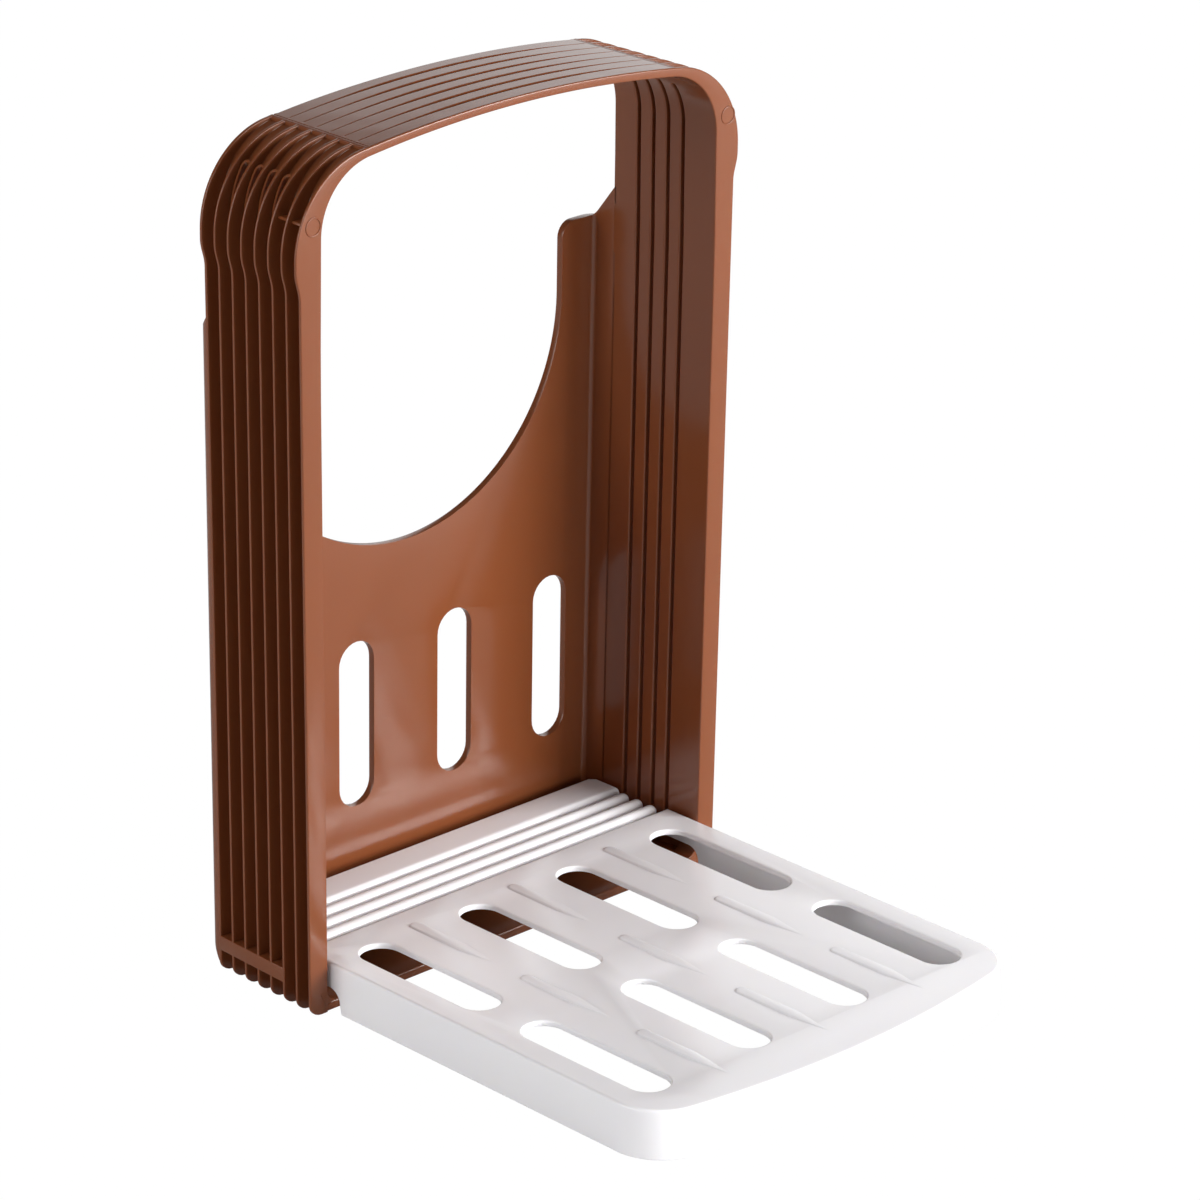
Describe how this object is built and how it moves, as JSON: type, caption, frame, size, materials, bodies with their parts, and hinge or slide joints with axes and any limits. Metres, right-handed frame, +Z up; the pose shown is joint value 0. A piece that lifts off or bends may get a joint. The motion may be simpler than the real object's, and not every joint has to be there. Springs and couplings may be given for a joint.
{
  "type": "bread slicing guide",
  "caption": "Bread slicing guide: an arched plastic frame with ribbed walls and knife slots, a cut-out rear panel, and a slotted base plate that folds up into the frame.",
  "frame": {"origin": "middle of the footprint on the table, with the base folded down", "axes": "+X across the loaf to the right, +Y from the open front of the base to the rear panel, +Z up"},
  "size_m": [0.1424, 0.1588, 0.2161],
  "materials": {
    "guide_frame": "glossy brown moulded plastic",
    "bread_base": "glossy off-white moulded plastic"
  },
  "bodies": {
    "frame": {"guide_frame": "guide_frame"},
    "base": {"bread_base": "bread_base"}
  },
  "joints": [
    {"name": "base_fold", "type": "hinge", "parent": "frame", "child": "base", "pos_m": [0, 0.0701, 0.0078], "axis": [-1, 0, 0], "range_deg": [0, 90]}
  ]
}
